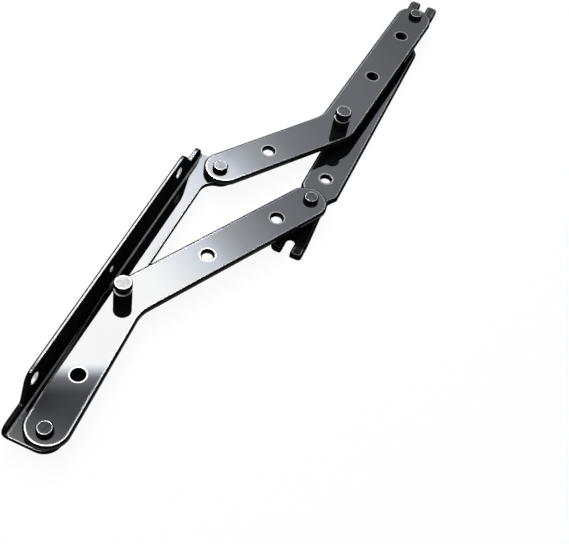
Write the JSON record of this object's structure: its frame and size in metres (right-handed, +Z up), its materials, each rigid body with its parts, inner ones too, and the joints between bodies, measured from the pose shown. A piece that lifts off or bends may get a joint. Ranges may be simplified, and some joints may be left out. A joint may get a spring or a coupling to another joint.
{
  "type": "sofa bed hinge",
  "caption": "Four-pivot sofa bed hinge: cranked links with spring posts swing a slotted flat bracket parallel to a flanged base bracket.",
  "frame": {"origin": "centre of the lower screw hole in the base bracket's flange, at the flange's outer face", "axes": "+Z up along the pivots with the hinge lying flat, +Y along both brackets, +X from the base bracket to the folding bracket"},
  "size_m": [0.0907, 0.4534, 0.0285],
  "materials": {
    "link_coating": "glossy black coating",
    "bracket_coating": "glossy black coating",
    "post_coating": "glossy black coating over turning marks",
    "rivet_coating": "glossy black coating, pressed head",
    "washer_coating": "black coating, worn where it turns"
  },
  "bodies": {
    "base": {"base_bracket": "bracket_coating", "lower_base_rivet": "rivet_coating", "upper_base_rivet": "rivet_coating", "lower_base_washer": "washer_coating", "upper_base_washer": "washer_coating"},
    "lower_arm": {"lower_link": "link_coating", "lower_spring_post": "post_coating"},
    "upper_arm": {"upper_link": "link_coating", "upper_spring_post": "post_coating"},
    "folding": {"folding_bracket": "bracket_coating", "lower_folding_rivet": "rivet_coating", "upper_folding_rivet": "rivet_coating", "lower_folding_spacer": "washer_coating", "upper_folding_spacer": "washer_coating"}
  },
  "joints": [
    {"name": "fold", "type": "hinge", "parent": "base", "child": "lower_arm", "pos_m": [0.0195, -0.0195, 0], "axis": [0, 0, 1], "range_deg": [-148, 0]},
    {"name": "upper_arm_swing", "type": "hinge", "parent": "base", "child": "upper_arm", "pos_m": [0.0195, 0.1845, 0], "axis": [0, 0, 1], "range_deg": [-148, 0]},
    {"name": "bracket_turn", "type": "hinge", "parent": "lower_arm", "child": "folding", "pos_m": [0.07838, 0.18916, 0], "axis": [0, 0, 1], "range_deg": [0, 148]}
  ],
  "couplings": [
    {"joint": "upper_arm_swing", "follows": "fold", "ratio": 1},
    {"joint": "bracket_turn", "follows": "fold", "ratio": -1}
  ]
}
